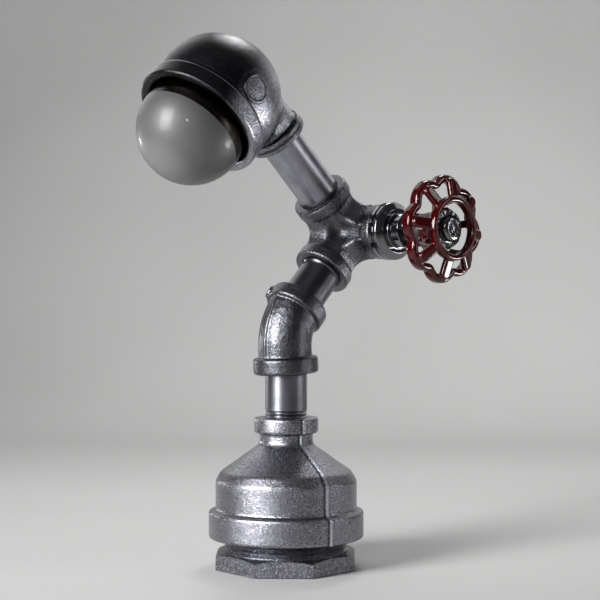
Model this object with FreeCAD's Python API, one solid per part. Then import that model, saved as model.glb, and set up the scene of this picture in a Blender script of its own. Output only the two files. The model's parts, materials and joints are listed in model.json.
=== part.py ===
import FreeCAD, Part
import math
import os

# Industrial pipe table lamp, in millimetres.
# +Z is up and the origin lies on the table, on the axis of the upright nipple.
# The arm leans back towards +Y, the bulb faces forward and down towards -Y, and
# the valve wheel stands out towards +X.
# "Reach" is a distance from where two axes of a fitting cross to its end face.

V = FreeCAD.Vector

# ---- fits ----
thread_gap = 0.05          # radial play of a pipe end in its socket
seat_gap = 0.1             # play between two faces that turn on each other
lead_gap = 0.3             # play at the end of a lead where a joint turns
hold_gap = 0.1             # play of a screw head in its counterbore
overrun = 1.0              # how far a cutting tool runs past the face it opens

# ---- edges ----
edge_round = 0.5           # rounding of turned and moulded edges
cast_round = 1.1           # rounding of cast rims
joint_overlap = 0.5        # how far a cast pipe runs into its rim

# ---- half inch pipe ----
pipe_radius = 10.65
pipe_bore_radius = 8.0
pipe_pitch = 1.814
pipe_thread_depth = 0.75
socket_depth = 13.0
waterway_radius = 8.4
pipe_chamfer = 0.8

# ---- base plug and its pad ----
pad_radius = 28.0
pad_thickness = 2.0
pad_proud = 0.4
plug_flats = 69.2
plug_sides = 8
plug_head_height = 8.0
plug_corner_drop = 1.6
plug_floor = 3.5
plug_wall = 5.5
plug_floor_round = 2.0
shank_radius = 31.0
shank_pitch = 2.309
shank_thread_depth = 1.2
shank_exposed = 6.8
shank_engaged = 14.0
shank_turns = 4
shank_run_out = 0.4
shank_relief = 1.2

# ---- reducer ----
reducer_band_radius = 39.2
reducer_band_height = 13.8
reducer_body_radius = 35.75
reducer_body_height = 14.8
reducer_wall = 4.6
shoulder_radius = 33.0
shoulder_rise = 4.6
cone_rise = 13.8
shoulder_round = 4.0
neck_round = 3.4
neck_radius = 13.5
neck_height = 5.4
reducer_top_band_radius = 16.25
reducer_top_band_height = 8.0
seam_proud = 0.7
seam_width = 2.6
seam_angle = -9.0

# ---- lead inlet in the back of the reducer ----
inlet_angle = 90.0
inlet_height = 36.0
inlet_hole_radius = 4.4
grommet_flange_radius = 6.1
grommet_flange = 1.6
grommet_bore_radius = 3.3

# ---- terminal block, earth tag and their screws ----
block_length = 30.0
block_width = 17.0
block_height = 12.0
block_screw_spacing = 22.0
block_screw_radius = 1.5
block_screw_head_radius = 2.7
block_screw_head = 1.8
terminal_spacing = 6.0
terminal_row_spacing = 9.0
terminal_screw_radius = 1.6
terminal_screw_sunk = 3.0
terminal_screw_proud = 0.4
terminal_slot_width = 0.5
terminal_slot_depth = 0.7
block_round = 1.2
earth_offset = 17.5
earth_tag_radius = 4.0
earth_tag_hole_radius = 2.1
earth_tag_thickness = 0.8
earth_tag_tail = 9.0
earth_tag_width = 3.0
earth_screw_radius = 2.0
earth_screw_depth = 2.4
earth_head_radius = 3.6
earth_head = 2.4
earth_head_round = 0.8
earth_slot_width = 0.9
earth_slot_depth = 1.0

# ---- leads that run inside the pipes ----
lead_radius = 2.2

# ---- elbow ----
elbow_turn = 43.3
elbow_tilt = 4.0
elbow_height = 123.2
elbow_lower_reach = 25.4
elbow_upper_reach = 14.6
elbow_body_radius = 13.6
elbow_band_radius = 16.5
elbow_upper_band_radius = 15.6
elbow_band = 8.2
elbow_bend_radius = 26.0
elbow_bore_bend = 15.0
elbow_lower_depth = 13.2
elbow_upper_depth = 11.0
elbow_rib_proud = 0.9
elbow_rib_width = 2.0
lug_radius = 3.4
lug_proud = 1.3
lug_turn = 132.0

# ---- corner fitting ----
mid_reach = 64.2
corner_reach = 28.8
corner_body_radius = 13.0
corner_band_radius = 15.2
corner_side_band_radius = 14.2
corner_band = 6.6
corner_core_radius = 13.9
corner_web_radius = 9.5
corner_web_width = 15.0
corner_web_root = 10.4

# ---- head elbow ----
arm_reach = 108.5
head_small_reach = 41.0
head_mouth_reach = 34.2
head_centre = 16.7
head_ball_radius = 31.8
head_pipe_radius = 30.8
head_band_radius = 32.3
head_band = 9.2
head_band_round = 1.5
head_bore_radius = 27.4
head_mouth_turns = 4
head_mouth_chamfer = 1.6
head_mouth_land = 1.0
head_neck_radius = 13.2
head_neck_round = 9.0
head_small_band_radius = 15.3
head_small_band = 6.2
head_ring_radius = 6.4
head_ring_line = 1.2
head_ring_proud = 0.5
head_ring_lean = 4.0
boss_radius = 3.4
boss_wall = 1.5

# ---- valve ----
bonnet_radius = 14.75
bonnet_thickness = 8.0
bonnet_shank = 12.8
bonnet_neck_radius = 8.8
bonnet_neck = 7.2
bonnet_wall = 2.6
bonnet_groove_at = 2.2
bonnet_groove = 1.6
bonnet_groove_depth = 0.7
bonnet_step = 3.4
bonnet_step_height = 2.6
packing_flats = 16.6
packing_nut_height = 7.0
packing_ring_height = 3.0
packing_ring_radius = 6.4
packing_chamfer = 0.9
stem_radius = 4.0
stem_square = 5.6
stem_stud_radius = 2.6
wheel_reach = 65.7
coupling_play = 1.0
coupling_length = 5.0
switch_length = 15.0
switch_radius = 7.4
switch_shoulder = 2.0
switch_floor = 3.0
switch_shaft_radius = 3.0

# ---- handwheel ----
wheel_lobes = 8
wheel_phase = 6.5
wheel_tip_radius = 27.0
wheel_bar_width = 4.0
wheel_bar_depth = 6.2
wheel_bar_round = 1.9
wheel_lobe_radius = 9.0
wheel_valley_radius = 3.0
wheel_arm_width = 5.7
wheel_arm_thickness = 3.3
wheel_arm_round = 1.3
wheel_arm_reach = 25.3
wheel_arm_rise = 4.0
wheel_arm_fall = 2.3
wheel_ring_inner = 12.8
wheel_ring_outer = 15.9
wheel_ring_thickness = 5.0
wheel_ring_round = 1.4
wheel_ring_rise = 7.1
wheel_spokes = 5
wheel_spoke_width = 3.8
wheel_spoke_thickness = 3.0
wheel_spoke_wall = 1.8
wheel_spoke_round = 1.8
wheel_hub_radius = 8.4
wheel_hub_back_radius = 7.0
wheel_hub_step = 3.0
wheel_hub_length = 7.5
wheel_hub_drop = 2.2
washer_radius = 8.4
washer_thickness = 1.0
washer_play = 0.3
nut_flats = 18.4
nut_height = 6.0
nut_chamfer = 1.3
nut_dome = 3.5
nut_dome_radius = 6.8
nut_dome_round = 2.6
nut_gap = 0.9

# ---- lampholder ----
holder_flange_radius = 14.2
holder_flange = 2.4
holder_radius = 10.0
holder_wall = 2.2
holder_length = 19.0
holder_floor = 2.2
holder_back = 4.8
plate_radius = 15.2
plate_thickness = 1.2
plate_screw_spacing = 24.4
plate_screw_radius = 1.4
plate_screw_head_radius = 2.0
plate_screw_head = 1.6
plate_screw_depth = 2.0
shell_start = 1.6
shell_inset = 0.6
contact_radius = 3.0
contact_thickness = 1.0

# ---- bulb ----
bulb_radius = 26.5
bulb_out = 4.7
bulb_split = 2.3
bulb_glass = 1.2
bulb_skirt = 6.5
bulb_neck_radius = 10.0
bulb_neck_reach = 19.5
bulb_waist_swell = 3.2
bulb_waist_round = 12.0
bulb_collar = 4.0
cap_radius = 6.9
cap_length = 15.5
cap_wall = 0.4
cap_gap = 0.08
cap_pitch = 2.82
cap_groove = 0.45
cap_turns = 4
cap_thread_start = 1.6
cap_shoulder = 1.2
insulator_height = 1.6
insulator_radius = 5.1
cap_tip_radius = 2.6
cap_tip = 0.9
capsule_radius = 5.0
capsule_length = 22.0
capsule_round = 3.5


# ---- places that follow from the sizes ----
turn = math.radians(elbow_turn)
up = V(0, 0, 1)
side = V(1, 0, 0)
lean = V(0, math.sin(turn), math.cos(turn))
reach = V(0, -math.cos(turn), math.sin(turn))
aim = V(0, -math.sin(turn), -math.cos(turn))

plug_bottom = pad_proud
head_top = plug_bottom + plug_head_height
reducer_bottom = head_top + shank_exposed
band_top = reducer_bottom + reducer_band_height
body_top = band_top + reducer_body_height
shoulder_top = body_top + shoulder_rise
cone_top = shoulder_top + cone_rise
neck_top = cone_top + neck_height
reducer_top = neck_top + reducer_top_band_height
shank_top = reducer_bottom + shank_engaged
socket_radius = pipe_radius + thread_gap
shank_socket_radius = shank_radius + thread_gap
inside_radius = shoulder_radius - reducer_wall
inside_bottom = shank_top + shank_relief
lead_break = reducer_top - socket_depth / 2
block_floor = pad_thickness + plug_floor
block_top = block_floor + block_height

elbow_centre = V(0, 0, elbow_height)
elbow_bottom = elbow_height - elbow_lower_reach
corner = elbow_centre + lean * mid_reach
head = corner + reach * arm_reach
back = V(0, 0, 0) - aim
away = V(0, 0, 0) - reach

# reaches along +X from the corner, for the valve
bonnet_start = corner_reach - bonnet_shank
bonnet_flange = corner_reach + bonnet_thickness
bonnet_end = bonnet_flange + bonnet_neck
packing_end = bonnet_end + packing_nut_height
coupling_start = bonnet_start + switch_length + seat_gap
coupling_end = coupling_start + coupling_length
coupling_radius = pipe_radius - bonnet_wall - coupling_play
hub_front = wheel_reach - wheel_hub_drop
hub_back = hub_front - wheel_hub_length
nut_start = hub_front + washer_thickness
stud_end = nut_start + nut_height

# reaches along the aim from the head's corner, for the holder and the bulb
holder_start = -holder_back
contact_start = holder_start + holder_floor
contact_end = contact_start + contact_thickness
holder_end = holder_start + holder_length
tip_start = contact_end + seat_gap
insulator_start = tip_start + cap_tip
cap_start = insulator_start + insulator_height
cap_end = cap_start + cap_length
bulb_centre = head_mouth_reach + bulb_out


# ---- drawing helpers ----
def frame_at(shape, origin, axis, across=None):
    """Move a shape drawn on Z so that it stands on origin, along axis, with X along across."""
    z = V(axis).normalize()
    guess = across if across is not None else (V(1, 0, 0) if abs(z.x) < 0.9 else V(0, 1, 0))
    x = (guess - z * guess.dot(z)).normalize()
    y = z.cross(x)
    place = FreeCAD.Matrix(x.x, y.x, z.x, origin.x,
                           x.y, y.y, z.y, origin.y,
                           x.z, y.z, z.z, origin.z,
                           0, 0, 0, 1)
    moved = shape.copy()
    moved.Placement = FreeCAD.Placement(place).multiply(shape.Placement)
    return moved


def outline(points):
    """A closed face in the XZ plane from (x, z) corners; a third value rounds that corner."""
    count = len(points)
    flat = [V(p[0], 0, p[1]) for p in points]
    entry, leave, arcs = [], [], []
    for i, point in enumerate(points):
        radius = point[2] if len(point) > 2 else 0
        here = flat[i]
        if not radius:
            entry.append(here)
            leave.append(here)
            arcs.append(None)
            continue
        back = (flat[i - 1] - here).normalize()
        ahead = (flat[(i + 1) % count] - here).normalize()
        half = math.acos(max(-1, min(1, back.dot(ahead)))) / 2
        first = here + back * (radius / math.tan(half))
        last = here + ahead * (radius / math.tan(half))
        middle = here + (back + ahead).normalize() * (radius / math.sin(half) - radius)
        entry.append(first)
        leave.append(last)
        arcs.append(Part.Arc(first, middle, last).toShape())
    edges = []
    for i in range(count):
        if arcs[i]:
            edges.append(arcs[i])
        start, end = leave[i], entry[(i + 1) % count]
        if start.distanceToPoint(end) > 1e-6:
            edges.append(Part.LineSegment(start, end).toShape())
    return Part.Face(Part.Wire(edges))


def lathe(points, origin=V(0, 0, 0), axis=up, across=None):
    """A solid of revolution: points are (radius, height) along axis from origin."""
    solid = outline(points).revolve(V(0, 0, 0), up, 360)
    return frame_at(solid, origin, axis, across)


def rod(radius, start, end, origin=V(0, 0, 0), axis=up):
    """A plain cylinder from start to end along axis."""
    base = origin + V(axis).normalize() * start
    return Part.makeCylinder(radius, end - start, base, axis)


def ball(radius, centre):
    return Part.makeSphere(radius, centre)


def across_corners(flats, sides):
    """Radius over the corners of a regular prism."""
    return flats / 2 / math.cos(math.pi / sides)


def prism(flats, sides, start, end, origin=V(0, 0, 0), axis=up, across=None):
    """A regular prism whose first flat faces across."""
    corner_radius = across_corners(flats, sides)
    ring = []
    for i in range(sides + 1):
        angle = 2 * math.pi * (i + 0.5) / sides
        ring.append(V(corner_radius * math.cos(angle), corner_radius * math.sin(angle), start))
    solid = Part.Face(Part.makePolygon(ring)).extrude(V(0, 0, end - start))
    return frame_at(solid, origin, axis, across)


def join(shapes):
    """One solid from several that meet or overlap."""
    whole = shapes[0].multiFuse(shapes[1:]) if len(shapes) > 1 else shapes[0]
    return whole.removeSplitter()


def cut_all(shape, tools):
    for tool in tools:
        shape = shape.cut(tool)
    return shape


def thread(crest, depth, pitch, turns, start, rising=True):
    """Corners of a V thread drawn as rings, from start along the height."""
    points = []
    for i in range(turns):
        low = start + i * pitch
        points += [(crest, low), (crest - depth, low + pitch / 2)]
    points.append((crest, start + turns * pitch))
    return points if rising else points[::-1]


def bend(radius, bend_radius, centre, first, second):
    """A round bar that turns from first to second, whose axes cross at centre; also its tangent."""
    first, second = V(first).normalize(), V(second).normalize()
    angle = math.acos(first.dot(second))
    tangent = bend_radius * math.tan(angle / 2)
    start = centre - first * tangent
    normal = first.cross(second).normalize()
    pivot = start + (second - first * first.dot(second)).normalize() * bend_radius
    disc = Part.Face(Part.Wire(Part.makeCircle(radius, start, first)))
    return disc.revolve(pivot, normal, math.degrees(angle)), tangent


def bent_bar(radius, bend_radius, centre, first, before, second, after):
    """A round bar with one bend: before and after are its lengths from centre to each end."""
    elbow, tangent = bend(radius, bend_radius, centre, first, second)
    pieces = [elbow]
    if before > tangent:
        pieces.append(rod(radius, -before, -tangent, centre, first))
    if after > tangent:
        pieces.append(rod(radius, tangent, after, centre, second))
    return join(pieces)


def band(radius, start, end, origin, axis, rounding=cast_round):
    """The thick rim of a cast fitting, with rounded edges."""
    return lathe([(0, start), (radius, start, rounding), (radius, end, rounding), (0, end)],
                 origin, axis)


def rounded_crease(body, arm, radius):
    """One solid from a body and an arm that leaves it, with the crease between them rounded."""
    whole = join([body, arm])
    drawn = [e for e in whole.Edges if not e.Degenerated]
    crease = [e for e in drawn if not isinstance(e.Curve, (Part.Circle, Part.Line))]
    return whole.makeFillet(radius, crease)


# ---- the pieces that stand on the base ----
def foot_pad():
    return lathe([(0, 0), (pad_radius, 0, edge_round), (pad_radius, pad_thickness), (0, pad_thickness)])


def block_screw_spots():
    return [V(x, 0, 0) for x in (-block_screw_spacing / 2, block_screw_spacing / 2)]


def base_plug():
    """Octagon head with its edges trimmed to a cone, threaded shank and hollow inside."""
    octagon = prism(plug_flats, plug_sides, plug_bottom, head_top)
    flat_radius = plug_flats / 2
    corner_radius = across_corners(plug_flats, plug_sides)
    trim = lathe([(0, plug_bottom), (corner_radius, plug_bottom),
                  (corner_radius, head_top - plug_corner_drop),
                  (flat_radius, head_top), (0, head_top)])
    cavity_radius = shank_radius - shank_thread_depth - plug_wall
    crests = thread(shank_radius, shank_thread_depth, shank_pitch, shank_turns,
                    head_top + shank_run_out)
    shank = lathe([(0, head_top - joint_overlap), (shank_radius, head_top - joint_overlap)] + crests
                  + [(shank_radius, shank_top, cast_round), (0, shank_top)])
    cavity = lathe([(0, block_floor), (cavity_radius, block_floor, plug_floor_round),
                    (cavity_radius, shank_top + overrun), (0, shank_top + overrun)])
    recess = rod(pad_radius + thread_gap, plug_bottom - overrun, pad_thickness)
    tools = [cavity, recess]
    hole_start = block_floor - earth_screw_depth
    tools.append(rod(earth_screw_radius, hole_start, block_floor + overrun, V(0, earth_offset, 0)))
    for spot in block_screw_spots():
        tools.append(rod(block_screw_radius, hole_start, block_floor + overrun, spot))
    return cut_all(join([octagon.common(trim), shank]), tools)


def reducer_outside(extra=0.0):
    """Outer corners of the reducer from bottom to top, pushed out by extra."""
    band_radius = reducer_band_radius + extra
    body_radius = reducer_body_radius + extra
    return [(band_radius, reducer_bottom, cast_round), (band_radius, band_top, 1.5 * cast_round),
            (body_radius, band_top, cast_round), (body_radius, body_top, 1.5 * cast_round),
            (shoulder_radius + extra, shoulder_top, shoulder_round),
            (neck_radius + extra, cone_top, neck_round),
            (neck_radius + extra, neck_top, edge_round),
            (reducer_top_band_radius + extra, neck_top, cast_round),
            (reducer_top_band_radius + extra, reducer_top, cast_round)]


def reducer_hollow():
    """All that is taken out of the reducer: both sockets and the space between them."""
    lower = lathe([(0, reducer_bottom - overrun), (shank_socket_radius, reducer_bottom - overrun),
                   (shank_socket_radius, inside_bottom), (inside_radius, inside_bottom),
                   (inside_radius, shoulder_top - reducer_wall, shoulder_round),
                   (waterway_radius, cone_top - reducer_wall),
                   (waterway_radius, reducer_top + overrun), (0, reducer_top + overrun)])
    socket = lathe([(0, reducer_top - socket_depth), (socket_radius, reducer_top - socket_depth),
                    (socket_radius, reducer_top - pipe_chamfer),
                    (socket_radius + pipe_chamfer, reducer_top),
                    (socket_radius + pipe_chamfer, reducer_top + overrun), (0, reducer_top + overrun)])
    inlet = rod(inlet_hole_radius, 0, reducer_band_radius + overrun, V(0, 0, inlet_height), inlet_way())
    return [lower, socket, inlet]


def reducer():
    core = reducer_outside()
    solid = lathe([(0, reducer_bottom)] + core + [(0, reducer_top)])
    spread = 2 * math.degrees(math.asin(seam_width / 2 / reducer_body_radius))
    inner = neck_radius - joint_overlap
    web = outline([(inner, reducer_bottom)] + reducer_outside(seam_proud) + [(inner, reducer_top)])
    for angle in (seam_angle, seam_angle + 180):
        rib = web.copy()
        rib.rotate(V(0, 0, 0), up, angle - spread / 2)
        solid = solid.fuse(rib.revolve(V(0, 0, 0), up, spread))
    return cut_all(solid, reducer_hollow()).removeSplitter()


def inlet_way():
    angle = math.radians(inlet_angle)
    return V(math.cos(angle), math.sin(angle), 0)


def inlet_grommet():
    """Rubber bush: a flange inside, a flange outside and a neck through the wall."""
    inside_seat = math.sqrt(inside_radius ** 2 - grommet_flange_radius ** 2)
    start = inside_seat - grommet_flange
    end = reducer_body_radius + grommet_flange
    centre = V(0, 0, inlet_height)
    bush = lathe([(grommet_bore_radius, start), (grommet_flange_radius, start, edge_round),
                  (grommet_flange_radius, end, edge_round), (grommet_bore_radius, end, edge_round)],
                 centre, inlet_way())
    low = inlet_height - grommet_flange_radius - overrun
    high = inlet_height + grommet_flange_radius + overrun
    wall = lathe([(inside_radius, low), (reducer_body_radius, low),
                  (reducer_body_radius, high), (inside_radius, high)])
    neck = rod(inlet_hole_radius, 0, end + overrun, centre, inlet_way())
    return bush.cut(wall.cut(neck))


def terminal_spots():
    """Centres of the terminal screws on top of the block."""
    return [V(x, y, 0) for x in (-terminal_spacing, terminal_spacing)
            for y in (-terminal_row_spacing / 2, terminal_row_spacing / 2)]


def terminal_block():
    body = Part.makeBox(block_length, block_width, block_height,
                        V(-block_length / 2, -block_width / 2, block_floor))
    body = body.makeFillet(block_round, [edge for edge in body.Edges
                                         if abs(edge.tangentAt(edge.FirstParameter).z) > 0.9])
    tools = [rod(terminal_screw_radius, block_top - terminal_screw_sunk, block_top + overrun, spot)
             for spot in terminal_spots()]
    for spot in block_screw_spots():
        tools.append(rod(block_screw_radius, block_floor - overrun, block_top + overrun, spot))
        tools.append(rod(block_screw_head_radius, block_top - block_screw_head,
                         block_top + overrun, spot))
    return cut_all(body, tools)


def slotted(screw, top, middle, head_radius, width, depth):
    """A screw with a slot across its head."""
    length = 2 * (head_radius + overrun)
    return screw.cut(Part.makeBox(length, width, depth + overrun,
                                  middle + V(-length / 2, -width / 2, top - depth)))


def terminal_screws():
    top = block_top + terminal_screw_proud
    screws = []
    for spot in terminal_spots():
        screw = rod(terminal_screw_radius, block_top - terminal_screw_sunk, top, spot)
        screws.append(slotted(screw, top, spot, terminal_screw_radius,
                              terminal_slot_width, terminal_slot_depth))
    return Part.Compound(screws)


def block_screws():
    seat = block_top - block_screw_head
    screws = []
    for spot in block_screw_spots():
        screws.append(join([rod(block_screw_radius, block_floor - earth_screw_depth, seat, spot),
                            rod(block_screw_head_radius, seat, block_top, spot)]))
    return Part.Compound(screws)


def earth_tag():
    middle = V(0, earth_offset, 0)
    ring = rod(earth_tag_radius, block_floor, block_floor + earth_tag_thickness, middle)
    tail = Part.makeBox(earth_tag_tail, earth_tag_width, earth_tag_thickness,
                        middle + V(earth_tag_radius / 2, -earth_tag_width / 2, block_floor))
    hole = rod(earth_tag_hole_radius, block_floor - overrun,
               block_floor + earth_tag_thickness + overrun, middle)
    return join([ring, tail]).cut(hole)


def earth_screw():
    seat = block_floor + earth_tag_thickness
    top = seat + earth_head
    middle = V(0, earth_offset, 0)
    shaft = rod(earth_screw_radius, block_floor - earth_screw_depth, seat, middle)
    dome = lathe([(0, seat), (earth_head_radius, seat), (earth_head_radius, top, earth_head_round),
                  (0, top)], middle)
    return slotted(join([shaft, dome]), top, middle, earth_head_radius,
                   earth_slot_width, earth_slot_depth)


def lead_base():
    return rod(lead_radius, block_top, lead_break)


# ---- the upright: nipple, elbow and the nipple that leans ----
def nipple(length, origin, axis, low_start, low_turns, high_end, high_turns):
    """A pipe nipple: one thread runs on from low_start, the other runs up to high_end."""
    low = thread(pipe_radius, pipe_thread_depth, pipe_pitch, low_turns, low_start)
    high = thread(pipe_radius, pipe_thread_depth, pipe_pitch, high_turns,
                  high_end - high_turns * pipe_pitch)
    outer = [(pipe_radius - pipe_chamfer, 0), (pipe_radius, pipe_chamfer)] + low + high
    outer += [(pipe_radius, length - pipe_chamfer), (pipe_radius - pipe_chamfer, length)]
    return lathe(outer + [(pipe_bore_radius, length), (pipe_bore_radius, 0)], origin, axis)


def lower_nipple():
    start = reducer_top - socket_depth + seat_gap
    end = elbow_bottom + elbow_lower_depth
    return nipple(end - start, V(0, 0, start), up,
                  reducer_top - start - pipe_pitch, 3, elbow_bottom - start + pipe_pitch / 2, 1)


def elbow_45():
    """Cast elbow whose lower rim is tilted a little; its two sockets stay true to the pipes."""
    tilt = math.radians(elbow_tilt)
    first = V(0, -math.sin(tilt), math.cos(tilt))
    foot = V(0, 0, elbow_bottom)
    run = elbow_lower_reach * math.sin(turn) / math.sin(turn + tilt)
    crossing = foot + first * run
    after = elbow_upper_reach - (crossing - elbow_centre).dot(lean)
    body = bent_bar(elbow_body_radius, elbow_bend_radius, crossing,
                    first, run - joint_overlap, lean, after - joint_overlap)
    lower = band(elbow_band_radius, 0, elbow_band, foot, first)
    upper = band(elbow_upper_band_radius, elbow_upper_reach - elbow_band, elbow_upper_reach,
                 elbow_centre, lean)
    rib = bent_bar(elbow_body_radius + elbow_rib_proud, elbow_bend_radius, crossing,
                   first, run - cast_round, lean, after - cast_round)
    whole = elbow_lower_reach + elbow_upper_reach
    slab = Part.makeBox(elbow_rib_width, 2 * whole, 2 * whole,
                        V(-elbow_rib_width / 2, -whole, elbow_bottom - elbow_band))
    lug_place = elbow_centre + lean * (elbow_upper_reach - elbow_band / 2)
    lug_way = side * math.cos(math.radians(lug_turn)) + reach * math.sin(math.radians(lug_turn))
    lug_end = elbow_upper_band_radius + lug_proud
    lug = lathe([(0, 0), (lug_radius, 0), (lug_radius, lug_end, edge_round), (0, lug_end)],
                lug_place, lug_way)
    solid = join([body, lower, upper, rib.common(slab), lug])
    mouth = socket_radius + pipe_chamfer
    low = elbow_bottom - elbow_band_radius * math.sin(tilt) - overrun
    lower_socket = lathe([(0, low), (mouth, low), (mouth, elbow_bottom),
                          (socket_radius, elbow_bottom + pipe_chamfer),
                          (socket_radius, elbow_bottom + elbow_lower_depth),
                          (0, elbow_bottom + elbow_lower_depth)])
    upper_socket = rod(socket_radius, elbow_upper_reach - elbow_upper_depth,
                       elbow_upper_reach + overrun, elbow_centre, lean)
    bore = bent_bar(waterway_radius, elbow_bore_bend, elbow_centre, up,
                    elbow_lower_reach + overrun, lean, elbow_upper_reach + overrun)
    return cut_all(solid, [lower_socket, upper_socket, bore])


def mid_nipple():
    start = elbow_upper_reach - elbow_upper_depth
    corner_face = mid_reach - corner_reach
    end = corner_face + socket_depth - seat_gap
    return nipple(end - start, elbow_centre + lean * start, lean,
                  elbow_upper_reach - start - pipe_pitch, 2,
                  corner_face - start + pipe_pitch, 2)


def lead_stem():
    low = elbow_height - lead_break - lead_gap
    high = mid_reach - corner_reach + socket_depth / 2
    return bent_bar(lead_radius, elbow_bore_bend, elbow_centre, up, low, lean, high)


# ---- the arm: corner fitting and long nipple ----
def corner_fitting():
    """Three-way fitting: one arm down the lean, one along the reach, one out to the valve."""
    arms = [V(0, 0, 0) - lean, reach, side]
    pieces = [ball(corner_core_radius, corner)]
    for arm in arms:
        pieces.append(rod(corner_body_radius, 0, corner_reach - joint_overlap, corner, arm))
        rim_radius = corner_side_band_radius if arm is side else corner_band_radius
        pieces.append(band(rim_radius, corner_reach - corner_band, corner_reach, corner, arm))
    for i in range(len(arms)):
        pieces.append(corner_web(arms[i], arms[i - 1]))
    solid = join(pieces)
    tools = [ball(waterway_radius, corner)]
    for arm in arms:
        tools.append(rod(waterway_radius, 0, corner_reach + overrun, corner, arm))
        tools.append(rod(socket_radius, corner_reach - socket_depth, corner_reach + overrun,
                         corner, arm))
    return cut_all(solid, tools)


def corner_web(first, second):
    """The concave casting that fills the angle between two arms."""
    inside = corner_web_root
    pivot = corner_body_radius + corner_web_radius
    face = outline([(inside, inside), (pivot, inside), (pivot, corner_body_radius),
                    (corner_body_radius, corner_body_radius, corner_web_radius),
                    (corner_body_radius, pivot), (inside, pivot)])
    web = face.extrude(V(0, corner_web_width, 0))
    web.translate(V(0, -corner_web_width / 2, 0))
    return frame_at(web, corner, second, first)


def upper_nipple():
    start = corner_reach - socket_depth
    head_face = arm_reach - head_small_reach
    end = head_face + socket_depth - seat_gap
    return nipple(end - start, corner + reach * start, reach,
                  corner_reach - start - pipe_pitch, 1, head_face - start + pipe_pitch, 1)


def lead_arm():
    low = corner_reach - socket_depth / 2 - lead_gap
    high = arm_reach - head_small_reach + socket_depth / 2
    main = bent_bar(lead_radius, waterway_radius, corner, lean, low, reach, high)
    branch = rod(lead_radius, 0, bonnet_start, corner, side)
    return join([main, branch])


# ---- the head: a large elbow that shades the bulb ----
def head_elbow():
    """A ball that opens into the mouth, with the small arm behind and screw bosses inside."""
    centre = head + aim * head_centre
    dome_reach = rod(head_band_radius + overrun, head_centre - head_ball_radius - overrun,
                     head_mouth_reach - head_band / 2, head, aim)
    dome = ball(head_ball_radius, centre).common(dome_reach)
    neck = rod(head_neck_radius, 0, head_small_reach - joint_overlap, head, away)
    pieces = [rounded_crease(dome, neck, head_neck_round),
              rod(head_pipe_radius, head_centre, head_mouth_reach - joint_overlap, head, aim),
              band(head_band_radius, head_mouth_reach - head_band, head_mouth_reach, head, aim,
                   head_band_round),
              band(head_small_band_radius, head_small_reach - head_small_band, head_small_reach,
                   head, away), head_ring(centre)]
    depth = shank_thread_depth / 2
    mouth_start = head_mouth_reach - head_mouth_land - head_mouth_turns * shank_pitch
    crests = thread(head_bore_radius + depth, depth, shank_pitch, head_mouth_turns, mouth_start)
    mouth_radius = head_bore_radius + head_mouth_chamfer
    dome_top = head_centre - head_bore_radius
    hollow = lathe([(0, dome_top), (head_bore_radius, dome_top, head_bore_radius)] + crests
                   + [(head_bore_radius, head_mouth_reach - head_mouth_land),
                      (mouth_radius, head_mouth_reach), (mouth_radius, head_mouth_reach + overrun),
                      (0, head_mouth_reach + overrun)], head, aim)
    tools = [hollow,
             rod(waterway_radius, 0, head_small_reach + overrun, head, away),
             rod(socket_radius, head_small_reach - socket_depth, head_small_reach + overrun,
                 head, away)]
    solid = cut_all(join(pieces), tools)
    seat = holder_back + plate_thickness
    wall_top = head_ball_radius - head_centre - boss_wall
    for spot in screw_spots():
        boss = rod(boss_radius, seat, wall_top, spot, back)
        solid = solid.fuse(boss.common(ball(head_ball_radius - boss_wall, centre)))
    holes = [rod(plate_screw_radius, seat - overrun, seat + plate_screw_depth, spot, back)
             for spot in screw_spots()]
    return cut_all(solid, holes).removeSplitter()


def head_ring(centre):
    """A plain raised ring on the side of the head."""
    lean_by = math.radians(head_ring_lean)
    way = side * math.cos(lean_by) + reach * math.sin(lean_by)
    surface = math.sqrt(head_ball_radius ** 2 - head_ring_radius ** 2)
    inner = head_ring_radius - head_ring_line
    top = surface + head_ring_proud
    low = surface - 4 * head_ring_proud
    return lathe([(inner, low), (head_ring_radius, low), (head_ring_radius, top), (inner, top)],
                 centre, way)


def lead_head():
    start = holder_radius + seat_gap
    end = head_small_reach - socket_depth / 2 - lead_gap
    return rod(lead_radius, start, end, head, away)


# ---- the lampholder inside the head ----
def screw_spots():
    return [head + side * x for x in (-plate_screw_spacing / 2, plate_screw_spacing / 2)]


def holder_plate():
    disc = rod(plate_radius, holder_start - plate_thickness, holder_start, head, aim)
    holes = [rod(plate_screw_radius, holder_start - plate_thickness - overrun,
                 holder_start + overrun, spot, aim) for spot in screw_spots()]
    return cut_all(disc, holes)


def holder_body():
    flange_end = holder_start + holder_flange
    inner = holder_radius - holder_wall
    solid = lathe([(0, holder_start), (holder_flange_radius, holder_start),
                   (holder_flange_radius, flange_end, edge_round), (holder_radius, flange_end),
                   (holder_radius, holder_end, edge_round), (inner, holder_end),
                   (inner, contact_start), (0, contact_start)], head, aim)
    tools = []
    for spot in screw_spots():
        tools.append(rod(plate_screw_radius, holder_start - overrun, flange_end + overrun, spot, aim))
        tools.append(rod(plate_screw_head_radius + hold_gap, flange_end,
                         flange_end + plate_screw_head + overrun, spot, aim))
    return cut_all(solid, tools)


def plate_screws():
    seat = holder_start + holder_flange
    top = seat + plate_screw_head
    screws = []
    for spot in screw_spots():
        shaft = rod(plate_screw_radius, holder_start - plate_thickness - plate_screw_depth, seat,
                    spot, aim)
        dome = lathe([(0, seat), (plate_screw_head_radius, seat),
                      (plate_screw_head_radius, top, edge_round), (0, top)], spot, aim)
        screws.append(join([shaft, dome]))
    return Part.Compound(screws)


def holder_shell():
    low = contact_start + shell_start
    high = holder_end - shell_inset
    outer = holder_radius - holder_wall
    inner = cap_radius + cap_gap
    return lathe([(inner, low), (outer, low), (outer, high), (inner, high)], head, aim)


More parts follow.
